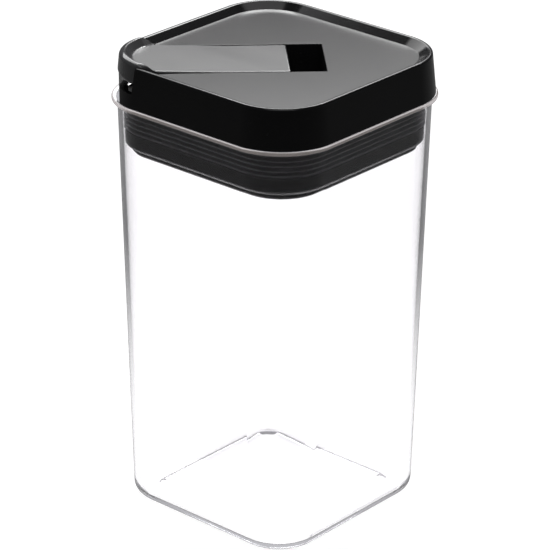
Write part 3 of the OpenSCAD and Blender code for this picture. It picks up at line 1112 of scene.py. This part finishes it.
@dataclass
class TopPlate:
    """The satin plate inside the rim, with the open well that the lever lies and turns in."""

    thickness: float = 2.0
    gap: float = 0.03
    slot_half: float = 15.1
    well_u: float = 18.8
    trough_u: float = -39.09
    trough_depth: float = 14.0
    trough_wall: float = 1.2
    trough_sink: float = 0.3
    hook_u: float = -45.11
    hook_slot_half: float = 15.7
    edge_softness: float = 0.4

    def build(self) -> None:
        """Makes the plate, hangs the trough's walls under it and cuts the slot."""
        under = GAUGE.plate_z - self.thickness
        edge = GAUGE.plate_off - self.gap
        piece = to_object("top_plate_satin", sweep(
            [(0, under), (edge, under), (edge, GAUGE.plate_z), (0, GAUGE.plate_z)]))
        outer = self.slot_half + self.trough_wall
        foot = under - self.trough_depth
        combine(piece, Join.ADD, [
            block((self.trough_u, self.well_u + self.trough_wall), (-outer, outer),
                  (foot, GAUGE.plate_z - self.trough_sink)),
        ])
        combine(piece, Join.CUT, [
            block((-BEYOND, self.well_u), (-self.slot_half, self.slot_half),
                  (foot - PAST, GAUGE.plate_z + PAST)),
            block((-BEYOND, self.hook_u), (-self.hook_slot_half, self.hook_slot_half),
                  (under - PAST, GAUGE.plate_z + PAST)),
        ])
        tidy(piece)
        soften(piece, self.edge_softness)
        place(piece, Body.LID, Slot.PLATE, SATIN_PLATE, "top_plate")


@dataclass
class Lever:
    """The flip lever: a flush arm that rises into a hooked rim bead, with cam cheeks below."""

    half: float = 14.7
    hook_half: float = 15.3
    inner_u: float = 5.0
    thickness: float = 3.0
    rise: float = 1.2
    rise_from_u: float = 20.0
    root_off: float = 16.0
    hook_setback: float = 0.7
    hook_z: float = 188.5
    hook_edge_r: float = 2.2
    hook_end_r: float = 2.0
    hook_wall: float = 2.4
    hook_lift: float = 1.3
    lip_z: float = 179.2
    lip_r: float = 2.2
    hollow_r: float = 1.6
    shoulder_r: float = 0.9
    rib_depth: float = 3.0
    rib_wall: float = 1.6
    cheek_in: float = 4.4
    cheek_out: float = 8.4
    cheek_reach: float = 15.0
    cheek_inset: float = 1.0
    cam_high: float = 6.5
    cam_drop: float = 2.5
    bore_r: float = 1.8
    edge_softness: float = 0.6
    shortest_edge: float = 12.0
    weld: float = 0.2
    cam_steps: int = 18

    def lift(self, at: Vector) -> float:
        """Rise of the arm, towards its corner end.

        Args:
            at: A point on it.

        Returns:
            The rise there.
        """
        u = along(1).dot(at)
        reach = GAUGE.corner_u + GAUGE.plate_off - self.rise_from_u
        return self.rise * max(0.0, (-u - self.rise_from_u) / reach)

    def face(self, z: float) -> float:
        """Offset of the hook's face at a height, before the arm is lifted."""
        return GAUGE.lid_out(z + self.hook_lift) - self.hook_setback

    def outline(self) -> list[Point]:
        """Section through the arm's level top and the hook, before the arm is lifted."""
        under = GAUGE.plate_z - self.thickness
        top, low = self.hook_z - self.hook_edge_r, self.lip_z + self.lip_r
        crest_off = self.face(top) - self.hook_edge_r
        slope = dished_slope((self.root_off, GAUGE.plate_z), (crest_off, self.hook_z),
                             self.hollow_r, self.shoulder_r)
        return (
            [(0, GAUGE.plate_z)] + slope[::-1]
            + arc((crest_off, top), self.hook_edge_r, 90, 0, 8)[1:]
            + arc((self.face(low) - self.lip_r, low), self.lip_r, 0, -90, 6)
            + [(self.face(low) - self.hook_wall, self.lip_z),
               (self.face(low) - self.hook_wall, under), (0, under)]
        )

    def cam(self) -> list[Point]:
        """Side view of a cheek, with the curve that rolls on the cam plate."""
        rate = self.cam_drop / QUARTER
        rim = []
        for i in range(self.cam_steps + 1):
            a = QUARTER * i / self.cam_steps
            high = self.cam_high - self.cam_drop * i / self.cam_steps
            rim.append((high * math.sin(a) - rate * math.cos(a),
                        -high * math.cos(a) - rate * math.sin(a)))
        inset = self.cheek_inset
        root = GAUGE.plate_z - self.thickness + inset - GAUGE.pivot_z
        side = self.cam_high - self.cam_drop
        rim += [(side, self.bore_r), (self.inner_u - GAUGE.pivot_u - inset, root),
                (-self.cheek_reach, root), (inset - self.cam_high, 0),
                (inset - self.cam_high, -self.cam_high)]
        return [(GAUGE.pivot_u + u, GAUGE.pivot_z + z) for u, z in rim]

    def arm(self) -> BMesh:
        """The arm and the hook in one solid, cut to length and to the hook's width, before it is
        narrowed beside the rim and lifted.
        """
        bm = sweep(self.outline())
        slice_off(bm, along(self.inner_u), along(1))
        for side in (-1, 1):
            slice_off(bm, along(0, side * self.hook_half), along(0, side))
        return bm

    def side_cutter(self, side: int) -> BMesh:
        """Solid that narrows the arm, where it lies inside the rim.

        Args:
            side: 1 or -1, for the side at positive or negative v.

        Returns:
            The solid.
        """
        bm = bmesh.new()
        bmesh.ops.create_cube(bm, size=BEYOND, matrix=Matrix.Translation((0, 0, GAUGE.plate_z)))
        slice_off(bm, along(0, side * self.half), along(0, -side))
        edge = GAUGE.corner + self.root_off
        wall = Vector((-1, 0, 0)) if side > 0 else Vector((0, -1, 0))
        slice_off(bm, wall * edge, wall)
        return bm

    def end_cutter(self, side: int) -> BMesh:
        """Solid that rounds the hook's upper corner.

        Args:
            side: 1 or -1, for the side at positive or negative v.

        Returns:
            The solid.
        """
        r, top = self.hook_end_r, self.hook_z + self.hook_end_r / 4
        v = self.hook_half - r
        rim = arc((v, top - r), r, 0, 90, 8) + [
            (v, top + r), (v + 2 * r, top + r), (v + 2 * r, top - r)]
        return prism([along(-BEYOND, side * x, z) for x, z in rim],
                     along(BEYOND - GAUGE.corner_u))

    def build(self) -> None:
        """Makes the lever, cuts its bore, lifts its corner end and hangs it on the handle."""
        piece = to_object("lever_arm", self.arm())
        for cutter in (self.side_cutter, self.end_cutter):
            combine(piece, Join.CUT, [cutter(side) for side in (-1, 1)])
        tidy(piece, weld=self.weld)
        soften(piece, self.edge_softness, shortest=self.shortest_edge)
        settle(piece)
        under = GAUGE.plate_z - self.thickness
        cheeks, ribs = [], []
        for side in (-1, 1):
            inner, outer = sorted((side * self.cheek_in, side * self.cheek_out))
            cheeks.append(prism([along(u, inner, z) for u, z in self.cam()],
                                along(0, outer - inner)))
            near, far = sorted((side * (self.half - self.rib_wall), side * (self.half - SKIN)))
            ribs.append(block((-GAUGE.corner_u, self.inner_u - SKIN), (near, far),
                              (under - self.rib_depth, under + LAP)))
        combine(piece, Join.ADD, cheeks + ribs)
        at = lever_frame(GAUGE.pivot_u, 0, GAUGE.pivot_z) @ Matrix.Rotation(QUARTER, 4, "X")
        combine(piece, Join.CUT, [rod(at, self.bore_r, (-self.half, self.half))])
        tidy(piece)
        self.raise_end(piece)
        soften(piece, 0)
        place(piece, Body.HANDLE, Slot.LEVER, SATIN_LEVER, "lever")

    def raise_end(self, piece: Object) -> None:
        """Lifts the corner end, once the arm has a seam to bend at.

        Args:
            piece: The lever.
        """
        with editing(piece) as bm:
            geom = list(bm.verts) + list(bm.edges) + list(bm.faces)
            bmesh.ops.bisect_plane(
                bm, geom=geom, dist=WELD * MM, plane_co=along(-self.rise_from_u) * MM,
                plane_no=along(-1))
            for vert in bm.verts:
                vert.co.z += self.lift(vert.co / MM) * MM


@dataclass
class Gasket:
    """The ribbed silicone band that the cup squeezes against the mouth."""

    bore_off: float = 15.07
    body_off: float = 18.97
    reach: float = 1.2
    root: float = 1.4
    tip: float = 0.6
    pitch: float = 2.0
    ribs: int = 4
    tip_turn: float = 75.0
    edge_softness: float = 0.12
    sharp: float = 40.0

    def outline(self) -> list[Point]:
        """Section through the band, with a rounded tip on each rib."""
        foot, top = GAUGE.gasket_foot_z, GAUGE.gasket_top_z
        spare = top - foot - self.root - (self.ribs - 1) * self.pitch
        first = foot + self.root / 2 + spare / 4
        section = [(self.bore_off, foot), (self.body_off, foot)]
        r = self.tip / 2
        for i in range(self.ribs):
            z = first + i * self.pitch
            section += (
                [(self.body_off, z - self.root / 2)]
                + arc((self.body_off + self.reach - r, z), r, -self.tip_turn, self.tip_turn, 4)
                + [(self.body_off, z + self.root / 2)]
            )
        return section + [(self.body_off, top), (self.bore_off, top)]

    def build(self) -> None:
        """Makes the gasket where it sits between the lid and the cup, on no body."""
        piece = to_object("gasket_band", sweep(self.outline(), ring=True, steps=24))
        soften(piece, self.edge_softness, segments=2, angle=self.sharp)
        piece.data.materials.append(SILICONE_BLACK.material())
        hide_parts("gasket")
        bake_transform(piece)
        LOG.info("%s: %d faces, from lid to cup", piece.name, len(piece.data.polygons))


@dataclass
class Cup:
    """The glossy cup under the gasket, with a stepped bottom and a screw at its middle."""

    off: float = 19.77
    foot_z: float = 150.3
    wall: float = 2.0
    edge_r: float = 2.2
    tier: float = 2.4
    tier_inset: float = 2.4
    tier_r: float = 1.2
    fillet_r: float = 3.4
    spigot_off: float = 14.77
    spigot_wall: float = 2.0
    spigot: float = 1.4
    boss_r: float = 6.5
    boss: float = 2.0
    recess_r: float = 4.25
    recess: float = 2.4
    shank_r: float = 2.4
    edge_softness: float = 0.25

    def outline(self) -> list[Point]:
        """Section from the middle of the underside, up the side and back to the floor."""
        foot, shoulder = self.foot_z, GAUGE.gasket_foot_z
        floor = foot + self.wall
        spigot_in = self.spigot_off - self.spigot_wall
        side_in = self.off - self.wall
        tier_off, tier_z = self.off - self.tier_inset, foot + self.tier
        return (
            [(0, foot)]
            + arc((tier_off - self.tier_r, foot + self.tier_r), self.tier_r, -90, 0, 6)
            + [(tier_off, tier_z)]
            + arc((self.off - self.edge_r, tier_z + self.edge_r), self.edge_r, -90, 0, 8)
            + [(self.off, shoulder), (self.spigot_off, shoulder),
               (self.spigot_off, shoulder + self.spigot), (spigot_in, shoulder + self.spigot),
               (spigot_in, shoulder - self.wall), (side_in, shoulder - self.wall)]
            + arc((side_in - self.fillet_r, floor + self.fillet_r), self.fillet_r, 0, -90, 8)
            + [(0, floor)]
        )

    def build(self) -> None:
        """Makes the cup with its boss and its screw's recess, and hangs it under the lid."""
        piece = to_object("cup_shell", sweep(self.outline()))
        here = Matrix.Identity(4)
        top = self.foot_z + self.wall + self.boss
        combine(piece, Join.ADD, [rod(here, self.boss_r, (self.foot_z + self.wall / 2, top))])
        combine(piece, Join.CUT, [
            rod(here, self.recess_r, (self.foot_z - PAST, self.foot_z + self.recess)),
            rod(here, self.shank_r, (self.foot_z - PAST, top + PAST)),
        ])
        tidy(piece)
        soften(piece, self.edge_softness)
        place(piece, Body.CUP, Slot.CUP, CUP_BLACK, "pressure_cup")


@dataclass
class Works:
    """Housing, stem, cam plate and fasteners, which keep their own solids."""

    finishes: dict[str, Finish] = field(default_factory=lambda: {
        "inner_housing": HOUSING_BLACK,
        "cam_plate": STEEL,
        "lid_screws": STEEL,
        "pull_stem": STEM_GREY,
        "stem_screw": STEEL,
        "sealing_washer": SILICONE_BLACK,
        "lever_pin": STEEL,
    })

    def build(self) -> None:
        """Gives each of these solids its finish."""
        for name, finish in self.finishes.items():
            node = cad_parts[name]
            for slot in node.material_slots:
                slot.material = finish.material()
            if not node.material_slots:
                node.data.materials.append(finish.material())
            LOG.info("%s: dressed in %s", name, finish.name)


# ---------------------------------------------------------------- studio


def bearing(azimuth: float, elevation: float) -> Vector:
    """Unit vector at degrees from -Y towards +X, and degrees above the floor."""
    a, e = math.radians(azimuth), math.radians(elevation)
    return Vector((math.sin(a) * math.cos(e), -math.cos(a) * math.cos(e), math.sin(e)))


def hang(name: str, data: ID, at: Vector, turn: Quaternion) -> Object:
    """Adds a light or a camera to the scene.

    Args:
        name: Name of its object.
        data: The light or the camera.
        at: Its place, in metres.
        turn: Its turn.

    Returns:
        Its object.
    """
    made = bpy.data.objects.new(name, data)
    made.location = at
    made.rotation_mode = "QUATERNION"
    made.rotation_quaternion = turn
    bpy.context.scene.collection.objects.link(made)
    return made


@dataclass(frozen=True)
class Softbox:
    """A soft rectangular light that faces the canister, in metres and degrees."""

    name: str
    azimuth: float
    elevation: float
    distance: float
    width: float
    height: float
    radiance: float

    def build(self, aim: Vector) -> None:
        """Hangs the light.

        Args:
            aim: The point that it faces.
        """
        out = bearing(self.azimuth, self.elevation)
        data = bpy.data.lights.new(self.name, "AREA")
        data.shape = "RECTANGLE"
        data.size, data.size_y = self.width, self.height
        data.energy = self.radiance * math.pi * self.width * self.height
        hang(self.name, data, aim + out * self.distance, out.to_track_quat("Z", "Y"))


@dataclass
class Studio:
    """Plain pale floor, dim room and soft lights."""

    floor_half: float = 3.0
    room: Colour = (0.95, 0.96, 1.0, 1.0)
    room_strength: float = 0.13
    haze: float = 0.75
    aim: Vector = field(default_factory=lambda: Vector((0, 0, 0.17)))
    lights: tuple[Softbox, ...] = (
        Softbox("back box", 236.0, 40.0, 1.7, 1.7, 1.0, 3.2),
        Softbox("back core", 212.0, 45.0, 1.6, 1.0, 0.34, 13.0),
        Softbox("top box", 200.0, 80.0, 1.6, 1.0, 1.0, 1.2),
        Softbox("front box", 41.4, 52.0, 1.8, 1.5, 0.7, 1.6),
    )

    def build(self) -> None:
        """Lays the floor, sets the room and hangs the lights."""
        bm = bmesh.new()
        bmesh.ops.create_grid(bm, x_segments=1, y_segments=1, size=self.floor_half / MM)
        floor = to_object("floor", bm)
        floor.data.materials.append(PALE_FLOOR.material())
        world = bpy.data.worlds.new("room")
        world.use_nodes = True
        tree = world.node_tree
        glow = calc(tree, "MULTIPLY", seen_through(tree), self.haze)
        wire(tree, tree.nodes["Background"], Color=self.room,
             Strength=calc(tree, "ADD", glow, self.room_strength))
        scene = bpy.context.scene
        scene.world = world
        scene.view_settings.view_transform = "Standard"
        for light in self.lights:
            light.build(self.aim)


@dataclass
class Viewpoint:
    """Camera beside the front corner, looking down on the lid, in metres and degrees."""

    azimuth: float = 41.40
    elevation: float = 24.49
    roll: float = 0.35
    distance: float = 1.2059
    lens: float = 199.6
    shift: float = 1 / FRAME_WIDTH
    clip: Point = (0.05, 50.0)
    aim: Vector = field(default_factory=lambda: Vector((0, 0, 0.09434)))

    def build(self) -> None:
        """Makes the scene's camera."""
        back = bearing(self.azimuth, self.elevation)
        data = bpy.data.cameras.new("camera")
        data.lens = self.lens
        data.shift_x = self.shift
        data.clip_start, data.clip_end = self.clip
        tilt = Matrix.Rotation(math.radians(self.roll), 3, "Z").to_quaternion()
        bpy.context.scene.camera = hang(
            "camera", data, self.aim + back * self.distance, back.to_track_quat("Z", "Y") @ tilt)


def main() -> None:
    """Builds the sub-assemblies, the studio and the camera in order."""
    logging.basicConfig(level=logging.INFO, format="%(message)s")
    for part in (Vessel(), Shell(), TopPlate(), Lever(), Gasket(), Cup(), Works(),
                 Studio(), Viewpoint()):
        LOG.info("building %s", type(part).__name__)
        part.build()
    bpy.context.view_layer.update()


if __name__ == "__main__":
    main()
